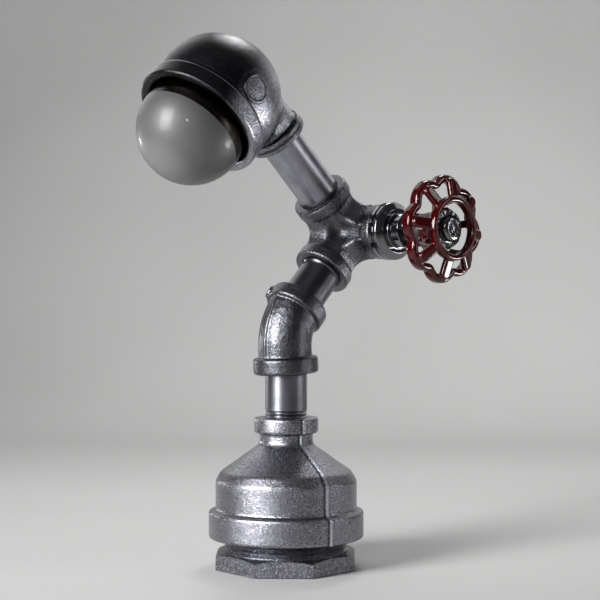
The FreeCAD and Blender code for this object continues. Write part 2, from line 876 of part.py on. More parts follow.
def holder_contact():
    return lathe([(0, contact_start), (contact_radius, contact_start),
                  (contact_radius, contact_end, edge_round), (0, contact_end)], head, aim)


# ---- the bulb, along the aim from the head's corner ----
def bulb_shell(centre):
    return ball(bulb_radius, centre).cut(ball(bulb_radius - bulb_glass, centre))


def bulb_lens():
    centre = head + aim * bulb_centre
    return bulb_shell(centre).common(rod(bulb_radius, bulb_split, bulb_radius + overrun, centre, aim))


def bulb_reflector():
    """Bowl of the bulb: the widest zone of the ball, then a swollen cone down to the neck."""
    centre = head + aim * bulb_centre
    inner_radius = bulb_radius - bulb_glass
    rim = bulb_shell(centre).common(rod(bulb_radius, -bulb_skirt, bulb_split, centre, aim))
    wide = math.sqrt(bulb_radius ** 2 - bulb_skirt ** 2)
    inner_wide = math.sqrt(inner_radius ** 2 - bulb_skirt ** 2)
    skirt_at = bulb_centre - bulb_skirt
    waist_at = (skirt_at + bulb_neck_reach) / 2
    waist = (wide + bulb_neck_radius) / 2 + bulb_waist_swell
    bowl = lathe([(inner_wide, skirt_at), (wide, skirt_at), (waist, waist_at, bulb_waist_round),
                  (bulb_neck_radius, bulb_neck_reach), (bulb_neck_radius - bulb_glass, bulb_neck_reach),
                  (waist - bulb_glass, waist_at, bulb_waist_round - bulb_glass)], head, aim)
    return join([rim, bowl])


def bulb_collar_piece():
    inner = cap_radius - cap_wall
    return lathe([(0, cap_end - bulb_collar), (inner, cap_end - bulb_collar), (inner, cap_end),
                  (bulb_neck_radius, cap_end, edge_round), (bulb_neck_radius, bulb_neck_reach),
                  (0, bulb_neck_reach)], head, aim)


def bulb_capsule():
    end = bulb_neck_reach + capsule_length
    return lathe([(0, bulb_neck_reach), (capsule_radius, bulb_neck_reach),
                  (capsule_radius, end, capsule_round), (0, end)], head, aim)


def bulb_cap():
    grooves = thread(cap_radius, cap_groove, cap_pitch, cap_turns, cap_start + cap_thread_start)
    wide = cap_radius - cap_wall
    narrow = wide - cap_groove
    collar_end = cap_end - bulb_collar
    return lathe([(cap_radius - cap_shoulder, cap_start), (cap_radius, cap_start + cap_shoulder)]
                 + grooves + [(cap_radius, cap_end), (wide, cap_end), (wide, collar_end),
                              (narrow, collar_end), (narrow, cap_start + cap_shoulder),
                              (insulator_radius, cap_start)], head, aim)


def bulb_insulator():
    return lathe([(0, insulator_start), (cap_tip_radius, insulator_start),
                  (insulator_radius, cap_start), (0, cap_start)], head, aim)


def bulb_tip():
    return lathe([(0, tip_start), (cap_tip_radius, tip_start, edge_round),
                  (cap_tip_radius, insulator_start), (0, insulator_start)], head, aim)


# ---- the valve, all along +X from the corner ----
def valve_bonnet():
    """Bonnet with a groove round its flange, stepped down to the neck that takes the packing."""
    groove_start = corner_reach + bonnet_groove_at
    groove_end = groove_start + bonnet_groove
    groove_radius = bonnet_radius - bonnet_groove_depth
    slope = bonnet_groove_depth / 2
    cavity = pipe_radius - bonnet_wall
    seat = bonnet_end - packing_ring_height
    cavity_end = coupling_end + seat_gap
    outer = [(pipe_radius, bonnet_start, edge_round), (pipe_radius, corner_reach),
             (bonnet_radius, corner_reach, edge_round), (bonnet_radius, groove_start),
             (groove_radius, groove_start + slope), (groove_radius, groove_end - slope),
             (bonnet_radius, groove_end),
             (bonnet_radius, bonnet_flange - bonnet_step_height, cast_round),
             (bonnet_radius - bonnet_step, bonnet_flange, edge_round),
             (bonnet_neck_radius, bonnet_flange, edge_round),
             (bonnet_neck_radius, bonnet_end, edge_round)]
    inner = [(packing_ring_radius, bonnet_end), (packing_ring_radius, seat),
             (stem_radius + thread_gap, seat), (stem_radius + thread_gap, cavity_end),
             (cavity, cavity_end), (cavity, bonnet_start)]
    return lathe(outer + inner, corner, side)


def packing_ring():
    inner = stem_radius + thread_gap
    start = bonnet_end - packing_ring_height
    return lathe([(inner, start), (packing_ring_radius, start), (packing_ring_radius, bonnet_end),
                  (inner, bonnet_end)], corner, side)


def hexagon_nut(flats, start, end, chamfer, across):
    """A hexagon along +X whose outer face is trimmed to a cone."""
    corner_radius = across_corners(flats, 6)
    trim = lathe([(0, start), (corner_radius, start), (corner_radius, end - chamfer),
                  (flats / 2, end), (0, end)], corner, side)
    return prism(flats, 6, start, end, corner, side, across).common(trim)


def packing_nut():
    hexagon = hexagon_nut(packing_flats, bonnet_end, packing_end, packing_chamfer, up)
    return hexagon.cut(rod(stem_radius + thread_gap, bonnet_end - overrun, packing_end + overrun,
                           corner, side))


def switch_body():
    """Rotary switch that fills the end of the bonnet."""
    end = bonnet_start + switch_length
    outer = pipe_radius - bonnet_wall
    bore = switch_shaft_radius + thread_gap
    floor = bonnet_start + switch_floor
    return lathe([(bore, floor), (bore, end), (switch_radius, end), (outer, end - switch_shoulder),
                  (outer, bonnet_start), (0, bonnet_start), (0, floor)], corner, side)


def switch_shaft():
    return rod(switch_shaft_radius, bonnet_start + switch_floor + seat_gap, coupling_start,
               corner, side)


def valve_stem():
    return join([rod(coupling_radius, coupling_start, coupling_end, corner, side),
                 rod(stem_radius, coupling_start, hub_back, corner, side),
                 prism(stem_square, 4, hub_back, hub_front, corner, side, up),
                 rod(stem_stud_radius, hub_front, stud_end, corner, side)])


def arc_bar(centre_radius, centre_angle, arc_radius, middle_angle, spread):
    """A piece of the rim on an arc in the XY plane, spread to each side of middle_angle."""
    inner = arc_radius - wheel_bar_width / 2
    outer = arc_radius + wheel_bar_width / 2
    deep = wheel_bar_depth / 2
    section = outline([(inner, -deep, wheel_bar_round), (outer, -deep, wheel_bar_round),
                       (outer, deep, wheel_bar_round), (inner, deep, wheel_bar_round)])
    bar = section.revolve(V(0, 0, 0), up, math.degrees(2 * spread))
    bar.rotate(V(0, 0, 0), up, math.degrees(middle_angle - spread))
    bar.translate(V(centre_radius * math.cos(centre_angle), centre_radius * math.sin(centre_angle), 0))
    return bar


def wheel_rim():
    """Bars of the lobed rim: lobe arcs and valley arcs that meet in line."""
    lobe_at = wheel_tip_radius - wheel_bar_width / 2 - wheel_lobe_radius
    half = math.pi / wheel_lobes
    gap = wheel_lobe_radius + wheel_valley_radius
    valley_at = lobe_at * math.cos(half) + math.sqrt(gap ** 2 - (lobe_at * math.sin(half)) ** 2)
    spread = math.atan2(valley_at * math.sin(half), valley_at * math.cos(half) - lobe_at)
    bars = []
    for i in range(wheel_lobes):
        angle = 2 * half * i
        bars.append(arc_bar(lobe_at, angle, wheel_lobe_radius, angle, spread))
        bars.append(arc_bar(valley_at, angle + half, wheel_valley_radius, angle + half + math.pi,
                            spread - half))
    return bars


def wheel_arm():
    """A stout bar with a round end, from the inner ring down to the tip of a lobe, drawn along X."""
    start = (wheel_ring_inner + wheel_ring_outer) / 2
    end = wheel_arm_reach - wheel_arm_width / 2
    thick = wheel_arm_thickness
    bar = join([Part.makeBox(end - start, wheel_arm_width, thick,
                             V(start, -wheel_arm_width / 2, -thick / 2)),
                Part.makeCylinder(wheel_arm_width / 2, thick, V(end, 0, -thick / 2))])
    edges = [e for e in bar.Edges if abs(abs(e.CenterOfMass.z) - thick / 2) < joint_overlap / 2]
    bar = bar.makeFillet(wheel_arm_round, edges)
    bar.rotate(V(end, 0, 0), V(0, 1, 0), math.degrees(math.atan2(wheel_arm_fall, end - start)))
    bar.translate(V(0, 0, wheel_arm_rise))
    return bar


def wheel_spoke():
    """A bar from the hub out past the nut and up to the inner ring, drawn along X."""
    top = -wheel_hub_drop - nut_gap
    low = top - wheel_spoke_thickness
    root = wheel_hub_back_radius / 2
    bend_at = across_corners(nut_flats, 6) + nut_gap / 2
    face = outline([(root, low), (bend_at + wheel_spoke_wall, low, wheel_spoke_round),
                    (wheel_ring_outer - edge_round, wheel_ring_rise),
                    (wheel_ring_inner + edge_round, wheel_ring_rise),
                    (bend_at, top, wheel_spoke_round / 2), (root, top)])
    bar = face.extrude(V(0, wheel_spoke_width, 0))
    bar.translate(V(0, -wheel_spoke_width / 2, 0))
    return bar


def handwheel():
    """Lobed rim, stout arms, inner ring, spokes and hub, drawn on Z and then set on the stem."""
    low = wheel_ring_rise - wheel_ring_thickness / 2
    high = wheel_ring_rise + wheel_ring_thickness / 2
    pieces = wheel_rim()
    pieces.append(lathe([(wheel_ring_inner, low, wheel_ring_round),
                         (wheel_ring_outer, low, wheel_ring_round),
                         (wheel_ring_outer, high, wheel_ring_round),
                         (wheel_ring_inner, high, wheel_ring_round)]))
    for bar, count in ((wheel_arm(), wheel_lobes), (wheel_spoke(), wheel_spokes)):
        for i in range(count):
            pieces.append(bar.copy())
            pieces[-1].rotate(V(0, 0, 0), up, 360.0 * i / count)
    front = -wheel_hub_drop
    back_face = front - wheel_hub_length
    pieces.append(lathe([(0, back_face), (wheel_hub_back_radius, back_face, edge_round),
                         (wheel_hub_radius, front - wheel_hub_step, edge_round),
                         (wheel_hub_radius, front, edge_round), (0, front)]))
    wheel = join(pieces)
    wheel.rotate(V(0, 0, 0), up, 90 - wheel_phase)
    wheel = frame_at(wheel, corner + side * wheel_reach, side, V(0, 1, 0))
    hole = prism(stem_square + 2 * thread_gap, 4, hub_back - overrun, hub_front + overrun,
                 corner, side, up)
    return wheel.cut(hole)


def wheel_washer():
    bore = stem_stud_radius + washer_play
    return lathe([(bore, hub_front), (washer_radius, hub_front),
                  (washer_radius, nut_start, washer_play), (bore, nut_start)], corner, side)


def wheel_nut():
    """Hexagon nut closed by a low dome over the end of the stud."""
    hexagon = hexagon_nut(nut_flats, nut_start, stud_end, nut_chamfer, V(0, 1, 0))
    top = stud_end + nut_dome
    dome = lathe([(0, stud_end - joint_overlap), (nut_dome_radius, stud_end - joint_overlap),
                  (nut_dome_radius, top, nut_dome_round), (0, top)], corner, side)
    return join([hexagon, dome]).cut(rod(stem_stud_radius, nut_start - overrun, stud_end,
                                         corner, side))


pieces_by_name = {
    "foot_pad": foot_pad,
    "base_plug": base_plug,
    "reducer": reducer,
    "inlet_grommet": inlet_grommet,
    "terminal_block": terminal_block,
    "terminal_screws": terminal_screws,
    "block_screws": block_screws,
    "earth_tag": earth_tag,
    "earth_screw": earth_screw,
    "lead_base": lead_base,
    "lower_nipple": lower_nipple,
    "elbow_45": elbow_45,
    "mid_nipple": mid_nipple,
    "lead_stem": lead_stem,
    "corner_fitting": corner_fitting,
    "upper_nipple": upper_nipple,
    "lead_arm": lead_arm,
    "valve_bonnet": valve_bonnet,
    "packing_ring": packing_ring,
    "packing_nut": packing_nut,
    "switch_body": switch_body,
    "switch_shaft": switch_shaft,
    "valve_stem": valve_stem,
    "handwheel": handwheel,
    "wheel_washer": wheel_washer,
    "wheel_nut": wheel_nut,
    "head_elbow": head_elbow,
    "lead_head": lead_head,
    "holder_plate": holder_plate,
    "plate_screws": plate_screws,
    "holder_body": holder_body,
    "holder_shell": holder_shell,
    "holder_contact": holder_contact,
    "bulb_lens": bulb_lens,
    "bulb_reflector": bulb_reflector,
    "bulb_collar": bulb_collar_piece,
    "bulb_capsule": bulb_capsule,
    "bulb_cap": bulb_cap,
    "bulb_insulator": bulb_insulator,
    "bulb_tip": bulb_tip,
}

os.makedirs("parts", exist_ok=True)
for name, make in pieces_by_name.items():
    shape = make()
    print(name, "solids", len(shape.Solids), "valid", shape.isValid(),
          "volume", round(shape.Volume, 1))
    shape.exportStep(os.path.join("parts", name + ".step"))
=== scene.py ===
import json
import math
import bpy
import bmesh
from mathutils import Matrix, Vector


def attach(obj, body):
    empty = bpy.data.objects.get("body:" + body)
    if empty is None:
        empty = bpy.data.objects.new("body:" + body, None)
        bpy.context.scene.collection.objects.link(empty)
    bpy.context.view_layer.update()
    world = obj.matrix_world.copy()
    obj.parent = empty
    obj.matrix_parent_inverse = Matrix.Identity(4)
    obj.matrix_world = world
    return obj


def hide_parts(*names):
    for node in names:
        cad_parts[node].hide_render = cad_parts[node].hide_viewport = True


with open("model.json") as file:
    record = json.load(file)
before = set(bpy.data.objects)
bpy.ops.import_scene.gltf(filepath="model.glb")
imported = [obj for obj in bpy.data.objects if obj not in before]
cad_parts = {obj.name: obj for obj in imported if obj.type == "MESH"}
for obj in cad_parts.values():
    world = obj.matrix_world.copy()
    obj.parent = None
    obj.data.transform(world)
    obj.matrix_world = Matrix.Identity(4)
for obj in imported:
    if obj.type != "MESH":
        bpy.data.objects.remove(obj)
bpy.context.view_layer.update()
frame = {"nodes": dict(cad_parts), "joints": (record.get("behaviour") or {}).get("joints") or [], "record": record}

NODES = frame["nodes"]
BODY_OF = {node: body for body, members in frame["record"]["behaviour"]["bodies"].items()
           for node in members}
JOINTS = {joint["name"]: joint for joint in frame["joints"]}

MM = 0.001
UP = Vector((0, 0, 1))
SIDE = Vector((1, 0, 0))
LEAN = Vector(JOINTS["arm_swivel"]["axis"])       # along the middle nipple, upwards
REACH = Vector(JOINTS["head_swivel"]["axis"])     # along the upper nipple, towards the head
AIM = Vector(JOINTS["bulb_release"]["axis"])      # out of the head's mouth
CORNER = Vector(JOINTS["arm_swivel"]["pos_m"])    # where the corner fitting's arms meet
HEAD = Vector(JOINTS["head_swivel"]["pos_m"])     # where the head's two axes meet
MIDDLE = Vector((0, 0, 0.13))                     # halfway up the lamp


# ---- camera ----
CAMERA_AZIMUTH = math.radians(46.72)
CAMERA_DISTANCE = 0.7378
CAMERA_HEIGHT = 0.1348
CAMERA_ASIDE = 0.007
CAMERA_LENS = 87.4
CAMERA_SENSOR = 36
CAMERA_CLIP = 0.01


def make_camera():
    """A level camera; returns the directions back to it and to its right."""
    back = Vector((math.sin(CAMERA_AZIMUTH), -math.cos(CAMERA_AZIMUTH), 0))
    right = UP.cross(back)
    data = bpy.data.cameras.new("camera")
    data.lens = CAMERA_LENS
    data.sensor_width = CAMERA_SENSOR
    data.clip_start = CAMERA_CLIP
    camera = bpy.data.objects.new("camera", data)
    bpy.context.scene.collection.objects.link(camera)
    camera.matrix_world = Matrix((right, UP, back)).transposed().to_4x4()
    camera.location = back * CAMERA_DISTANCE + right * CAMERA_ASIDE + UP * CAMERA_HEIGHT
    bpy.context.scene.camera = camera
    return back, right


BACK, RIGHT = make_camera()


# ---- shader helpers ----
def blank(name):
    """A new material with a Principled shader; returns the material, its tree and the shader."""
    material = bpy.data.materials.new(name)
    material.use_nodes = True
    tree = material.node_tree
    shader = next(node for node in tree.nodes if node.type == "BSDF_PRINCIPLED")
    return material, tree, shader


def add(tree, kind, **values):
    """A shader node with some of its properties or sockets set by name."""
    node = tree.nodes.new(kind)
    for key, value in values.items():
        if hasattr(node, key):
            setattr(node, key, value)
        else:
            node.inputs[key.replace("_", " ")].default_value = value
    return node


def place(tree):
    """Coordinates in metres that stay with the piece."""
    return add(tree, "ShaderNodeTexCoord").outputs["Object"]


def noise(tree, scale, detail=2.0, roughness=0.5, source=None):
    node = add(tree, "ShaderNodeTexNoise", Scale=scale, Detail=detail, Roughness=roughness)
    tree.links.new(source or place(tree), node.inputs["Vector"])
    return node.outputs["Fac"]


def ramp(tree, source, stops):
    """A colour ramp; stops are (position, colour) with a grey value or three of them."""
    node = add(tree, "ShaderNodeValToRGB")
    elements = node.color_ramp.elements
    while len(elements) < len(stops):
        elements.new(0.5)
    for element, (position, colour) in zip(elements, stops):
        element.position = position
        rgb = colour if isinstance(colour, tuple) else (colour,) * 3
        element.color = (*rgb, 1)
    tree.links.new(source, node.inputs["Fac"])
    return node.outputs["Color"]


def mix(tree, factor, first, second, blend="MIX"):
    """Two colours mixed; each of the three inputs is an output socket or a plain value."""
    node = add(tree, "ShaderNodeMix", data_type="RGBA", blend_type=blend)
    for socket, value in ((node.inputs[0], factor), (node.inputs[6], first), (node.inputs[7], second)):
        if hasattr(value, "is_output"):
            tree.links.new(value, socket)
        elif isinstance(value, tuple):
            socket.default_value = (*value, 1)
        else:
            socket.default_value = value
    return node.outputs[2]


def multiply(tree, first, second):
    return mix(tree, 1.0, first, second, "MULTIPLY")


def bump(tree, height, distance, strength=1.0, normal=None):
    node = add(tree, "ShaderNodeBump", Distance=distance, Strength=strength)
    tree.links.new(height, node.inputs["Height"])
    if normal:
        tree.links.new(normal, node.inputs["Normal"])
    return node.outputs["Normal"]


def scaled(tree, source, low, high):
    """A 0 to 1 value stretched to run from low to high."""
    node = add(tree, "ShaderNodeMapRange")
    node.inputs["To Min"].default_value = low
    node.inputs["To Max"].default_value = high
    tree.links.new(source, node.inputs["Value"])
    return node.outputs["Result"]


def span(tree, value, start, end):
    """0 where a value is at its start, 1 where it is at its end."""
    node = add(tree, "ShaderNodeMapRange")
    node.inputs["From Min"].default_value = start
    node.inputs["From Max"].default_value = end
    tree.links.new(value, node.inputs["Value"])
    return node.outputs["Result"]


def vector_math(tree, operation, first, second=None):
    """A vector operation on an output socket and, if it takes two, a plain vector."""
    node = add(tree, "ShaderNodeVectorMath", operation=operation)
    tree.links.new(first, node.inputs[0])
    if second is not None:
        node.inputs[1].default_value = second
    return node


def reach_along(tree, direction, start, end, origin=HEAD):
    """0 where a point lies start metres past the origin in a direction, 1 where it lies end metres."""
    along = vector_math(tree, "DOT_PRODUCT", place(tree), direction)
    base = origin.dot(direction)
    return span(tree, along.outputs["Value"], base + start, base + end)


def bands(tree, direction, reach, stops, origin=HEAD):
    """Greys that change along a direction; reach and the stops are distances past the origin."""
    start, end = reach
    return ramp(tree, reach_along(tree, direction, start, end, origin),
                [((at - start) / (end - start), grey) for at, grey in stops])


def cool(value):
    """A grey as bare zinc shows it, a little blue."""
    return tuple(value * part for part in ZINC_TINT)


# ---- cast and drawn metal, and plain finishes ----
ZINC_TINT = (0.965, 0.97, 1.085)
CAST_CLOUD_SCALE = 70
CAST_CLOUD_SHARE = 0.38
CAST_DENT_SCALE = 160
CAST_ROUGH_SPREAD = 0.08
FINE_GRAIN_RATIO = 2.7

SEAM_ANGLE = math.radians(-9)
SEAM_ACROSS = Vector((-math.sin(SEAM_ANGLE), math.cos(SEAM_ANGLE), 0))
SEAM_REACH = (-5 * MM, 5 * MM)
# Painted shade in a line beside the mould seam, and a painted highlight on its ridge.
SEAM_PAINTED_SHADE = [(-2.3 * MM, 1.0), (-1.8 * MM, 0.3), (-1.4 * MM, 0.3), (-1.1 * MM, 1.0)]
SEAM_PAINTED_HIGHLIGHT = [(-1.2 * MM, 0.0), (-0.8 * MM, 0.8), (0.0, 0.8), (0.6 * MM, 0.0)]
SEAM_HIGHLIGHT_GREY = 0.7

TUBE_CLOUD_SCALE = 90
TUBE_MARK_SCALE = 700
TUBE_MARK_STRETCH = 16
TUBE_MARK_SHARE = 0.4
TUBE_MARK_DEPTH = 0.02 * MM
TUBE_ROUGH = 0.30

PLAIN_CLOUD_SCALE = 120
PLAIN_DARKER = 0.88
PLAIN_ROUGH_SPREAD = 0.1
PLAIN_GRAIN_SCALE = 1500
GLAZE_ROUGH = 0.04


def cast_metal(name, dark, light, rough, grain, grain_size, dents, seam=None):
    """Galvanised casting: sandy grain, cloudy tone, small bright crystals and shallow dents.

    seam is the level direction across the mould seam: its ridge has a painted highlight, with painted shade beside
    it.
    """
    material, tree, shader = blank(name)
    cloud = noise(tree, CAST_CLOUD_SCALE, 4, 0.6)
    speck = noise(tree, 1 / grain_size, 3, 0.65)
    fine = noise(tree, FINE_GRAIN_RATIO / grain_size, 2, 0.7)
    middle = (dark + light) / 2
    clouds = ramp(tree, cloud, [(0.32, cool(middle * 0.8)), (0.68, cool(middle * 1.2))])
    crystals = ramp(tree, speck, [(0.40, cool(dark)), (0.62, cool(light))])
    tone = mix(tree, 1 - CAST_CLOUD_SHARE, clouds, crystals)
    if seam:
        # painted shade beside the seam and a painted highlight on its ridge
        seam_shade = bands(tree, seam, SEAM_REACH, SEAM_PAINTED_SHADE, Vector())
        ridge = bands(tree, seam, SEAM_REACH, SEAM_PAINTED_HIGHLIGHT, Vector())
        tone = multiply(tree, mix(tree, ridge, tone, cool(SEAM_HIGHLIGHT_GREY)), seam_shade)
    tree.links.new(tone, shader.inputs["Base Color"])
    tree.links.new(scaled(tree, speck, rough + CAST_ROUGH_SPREAD, rough - CAST_ROUGH_SPREAD),
                   shader.inputs["Roughness"])
    normal = bump(tree, speck, grain)
    normal = bump(tree, fine, grain * 0.5, 0.9, normal)
    normal = bump(tree, noise(tree, CAST_DENT_SCALE, 3, 0.6), dents, 1.0, normal)
    tree.links.new(normal, shader.inputs["Normal"])
    shader.inputs["Metallic"].default_value = 1
    return material


def tube_metal(name, axis, dark, light):
    """Drawn tube: smooth, faint marks along its axis and a few clouds."""
    material, tree, shader = blank(name)
    turned = add(tree, "ShaderNodeMapping", vector_type="TEXTURE")
    turned.inputs["Rotation"].default_value = UP.rotation_difference(axis).to_euler()
    turned.inputs["Scale"].default_value = (1, 1, TUBE_MARK_STRETCH)
    tree.links.new(place(tree), turned.inputs["Vector"])
    mark = noise(tree, TUBE_MARK_SCALE, 3, 0.6, turned.outputs["Vector"])
    cloud = noise(tree, TUBE_CLOUD_SCALE, 4, 0.6)
    clouds, marks = (ramp(tree, source, [(0.3, cool(dark)), (0.7, cool(light))])
                     for source in (cloud, mark))
    tree.links.new(mix(tree, TUBE_MARK_SHARE, clouds, marks), shader.inputs["Base Color"])
    tree.links.new(scaled(tree, cloud, TUBE_ROUGH - 0.06, TUBE_ROUGH + 0.08), shader.inputs["Roughness"])
    tree.links.new(bump(tree, mark, TUBE_MARK_DEPTH, 0.4), shader.inputs["Normal"])
    shader.inputs["Metallic"].default_value = 1
    return material


def plain(name, colour, rough, metallic=0.0, grain=0.0, grain_scale=PLAIN_GRAIN_SCALE, coat=0.0):
    """A smooth or lightly grained finish with a little variation."""
    material, tree, shader = blank(name)
    cloud = noise(tree, PLAIN_CLOUD_SCALE, 3)
    low = tuple(value * PLAIN_DARKER for value in colour)
    tree.links.new(ramp(tree, cloud, [(0.3, low), (0.7, colour)]), shader.inputs["Base Color"])
    tree.links.new(scaled(tree, cloud, rough * (1 - PLAIN_ROUGH_SPREAD), rough * (1 + PLAIN_ROUGH_SPREAD)),
                   shader.inputs["Roughness"])
    if grain:
        tree.links.new(bump(tree, noise(tree, grain_scale, 2), grain, 0.6), shader.inputs["Normal"])
    shader.inputs["Metallic"].default_value = metallic
    if coat:
        shader.inputs["Coat Weight"].default_value = coat
        shader.inputs["Coat Roughness"].default_value = GLAZE_ROUGH
    return material


# ---- the head: its iron and the raised ring cast on its side ----
DOME_RADIUS = 31.8 * MM
DOME_MIDDLE = HEAD + AIM * 16.7 * MM
RING_RADIUS = 6.3 * MM
RING_BEAD = 0.7 * MM
RING_LEAN = math.radians(4)
RING_WAY = (SIDE * math.cos(RING_LEAN) + REACH * math.sin(RING_LEAN)).normalized()
RING_STEPS = 64
RING_SIDES = 10

# Painted light: the head's iron is painted lighter towards its right side and the small arm, where light falls on
# it.
LIT_SIDE_WAY = (SIDE * 0.75 - REACH).normalized()
LIT_SIDE_START = 9 * MM
LIT_SIDE_END = 27 * MM
BAND_REACH = (20 * MM, 30 * MM)
# Painted highlight: a light line on the band's rear edge; painted shade: a dark line just before it, where the
# band meets the dome.
BAND_PAINTED_HIGHLIGHT = [(25.0 * MM, 0.0), (25.4 * MM, 1.0), (26.0 * MM, 1.0), (26.6 * MM, 0.0)]
BAND_PAINTED_SHADE = [(24.0 * MM, 1.0), (24.5 * MM, 0.1), (24.9 * MM, 0.1), (25.2 * MM, 1.0)]
BAND_HIGHLIGHT_GREY = 0.30
COLLAR_REACH = (30 * MM, 45 * MM)
# Painted shade: dark bands at the steps of the small arm's collar.
COLLAR_PAINTED_SHADE = [(33.30 * MM, 1.0), (34.35 * MM, 0.08), (34.95 * MM, 0.08), (35.55 * MM, 0.7),
               (36.90 * MM, 0.6), (37.65 * MM, 0.15), (38.25 * MM, 0.15), (39.00 * MM, 0.6)]
# Painted shade in the corners on both sides of the raised ring.
CREASE_PAINTED_SHADE = 0.12
CREASE_BESIDE = 0.63 * MM
CREASE_ON_BEAD = 0.378 * MM


def head_metal():
    """Dark iron on the dome, painted lighter towards the right side and the small arm where light falls on it,
    with painted highlight and painted shade on the band, collar and ring.
    """
    material, tree, shader = blank("head_iron")
    speck = noise(tree, 1100, 3, 0.65)
    dark = ramp(tree, speck, [(0.38, cool(0.014)), (0.66, cool(0.055))])
    light = ramp(tree, speck, [(0.38, cool(0.16)), (0.64, cool(0.52))])
    # painted light: lighter towards the right side and the small arm
    tone = mix(tree, reach_along(tree, LIT_SIDE_WAY, LIT_SIDE_START, LIT_SIDE_END), dark, light)
    # painted highlight on the band's rear edge
    tone = mix(tree, bands(tree, AIM, BAND_REACH, BAND_PAINTED_HIGHLIGHT), tone, cool(BAND_HIGHLIGHT_GREY))
    for shade in (bands(tree, AIM, BAND_REACH, BAND_PAINTED_SHADE),
                  bands(tree, -REACH, COLLAR_REACH, COLLAR_PAINTED_SHADE),
                  ring_crease_shade(tree)):
        tone = multiply(tree, tone, shade)
    tree.links.new(tone, shader.inputs["Base Color"])
    tree.links.new(scaled(tree, speck, 0.30, 0.20), shader.inputs["Roughness"])
    normal = bump(tree, speck, 0.20 * MM)
    normal = bump(tree, noise(tree, 2600, 2, 0.7), 0.08 * MM, 0.9, normal)
    tree.links.new(normal, shader.inputs["Normal"])
    shader.inputs["Metallic"].default_value = 1
    return material


def ring_crease_shade(tree):
    """Painted shade in the corners on both sides of the raised ring."""
    offset = vector_math(tree, "SUBTRACT", place(tree), DOME_MIDDLE).outputs["Vector"]
    swept = vector_math(tree, "CROSS_PRODUCT", offset, RING_WAY)
    radius = vector_math(tree, "LENGTH", swept.outputs["Vector"])
    ahead = vector_math(tree, "DOT_PRODUCT", offset, RING_WAY)
    side_on = add(tree, "ShaderNodeMath", operation="GREATER_THAN")
    tree.links.new(ahead.outputs["Value"], side_on.inputs[0])
    side_on.inputs[1].default_value = DOME_RADIUS / 2
    inner = RING_RADIUS - RING_BEAD
    outer = RING_RADIUS + RING_BEAD
    reach = 2 * RING_RADIUS
    stops = [(inner - CREASE_BESIDE, 1.0), (inner, CREASE_PAINTED_SHADE), (inner + CREASE_ON_BEAD, 1.0),
             (outer - CREASE_ON_BEAD, 1.0), (outer, CREASE_PAINTED_SHADE), (outer + CREASE_BESIDE, 1.0)]
    lines = ramp(tree, span(tree, radius.outputs["Value"], 0, reach),
                 [(at / reach, grey) for at, grey in stops])
    return mix(tree, side_on.outputs["Value"], (1.0, 1.0, 1.0), lines)


# ---- the bulb ----
# Painted shade on the lens, deepest at its back inside the head.
LENS_SHADE_DEPTH = 34 * MM
LENS_SHADE = [(0.0, 0.20), (0.55, 0.36), (0.95, 1.0)]


def frosted_glass():
    """Satin white glass, unlit, with painted shade that deepens towards the bowl behind it, inside the head."""
    material, tree, shader = blank("frosted_glass")
    start = min((vertex.co - HEAD).dot(AIM) for vertex in NODES["bulb_lens"].data.vertices)
    bright = ramp(tree, noise(tree, 45, 3),
                  [(0.3, (0.245, 0.245, 0.248)), (0.7, (0.275, 0.275, 0.278))])
    shade = ramp(tree, reach_along(tree, AIM, start, start + LENS_SHADE_DEPTH), LENS_SHADE)
    tree.links.new(multiply(tree, bright, shade), shader.inputs["Base Color"])
    tree.links.new(bump(tree, noise(tree, 4000, 1), 0.01 * MM, 0.3), shader.inputs["Normal"])
    shader.inputs["Roughness"].default_value = 0.45
    shader.inputs["Coat Weight"].default_value = 0.12
    shader.inputs["Coat Roughness"].default_value = 0.03
    return material


# ---- which finish each node has ----
ZINC = cast_metal("zinc_casting", dark=0.10, light=0.43, rough=0.27, grain=0.17 * MM,
                  grain_size=0.8 * MM, dents=0.2 * MM, seam=SEAM_ACROSS)
# The plug, the elbow and the corner fitting are the same galvanised iron as the reducer; their darker greys are
# painted shade.
ZINC_PLUG_SHADED = cast_metal("zinc_plug_shaded", dark=0.06, light=0.34, rough=0.28, grain=0.26 * MM,
                       grain_size=0.9 * MM, dents=0.2 * MM)
ZINC_ELBOW_SHADED = cast_metal("zinc_elbow_shaded", dark=0.045, light=0.19, rough=0.30, grain=0.13 * MM,
                        grain_size=0.8 * MM, dents=0.6 * MM)
ZINC_CORNER_SHADED = cast_metal("zinc_corner_shaded", dark=0.07, light=0.22, rough=0.28, grain=0.18 * MM,
                       grain_size=0.7 * MM, dents=0.2 * MM)
BRIGHT = plain("bright_steel", (0.62, 0.62, 0.64), 0.28, metallic=1, grain=0.02 * MM)
PLATED = plain("zinc_plate", (0.66, 0.63, 0.52), 0.3, metallic=1, grain=0.02 * MM)
CHROME = plain("chrome", (0.22, 0.22, 0.23), 0.1, metallic=1, grain=0.06 * MM, grain_scale=260)
DARK_CHROME = plain("dark_chrome", (0.20, 0.20, 0.21), 0.12, metallic=1, grain=0.45 * MM,
                    grain_scale=420)
BRASS = plain("brass", (0.72, 0.54, 0.24), 0.25, metallic=1, grain=0.02 * MM)
ALUMINIUM = plain("aluminium", (0.72, 0.72, 0.72), 0.3, metallic=1, grain=0.02 * MM)
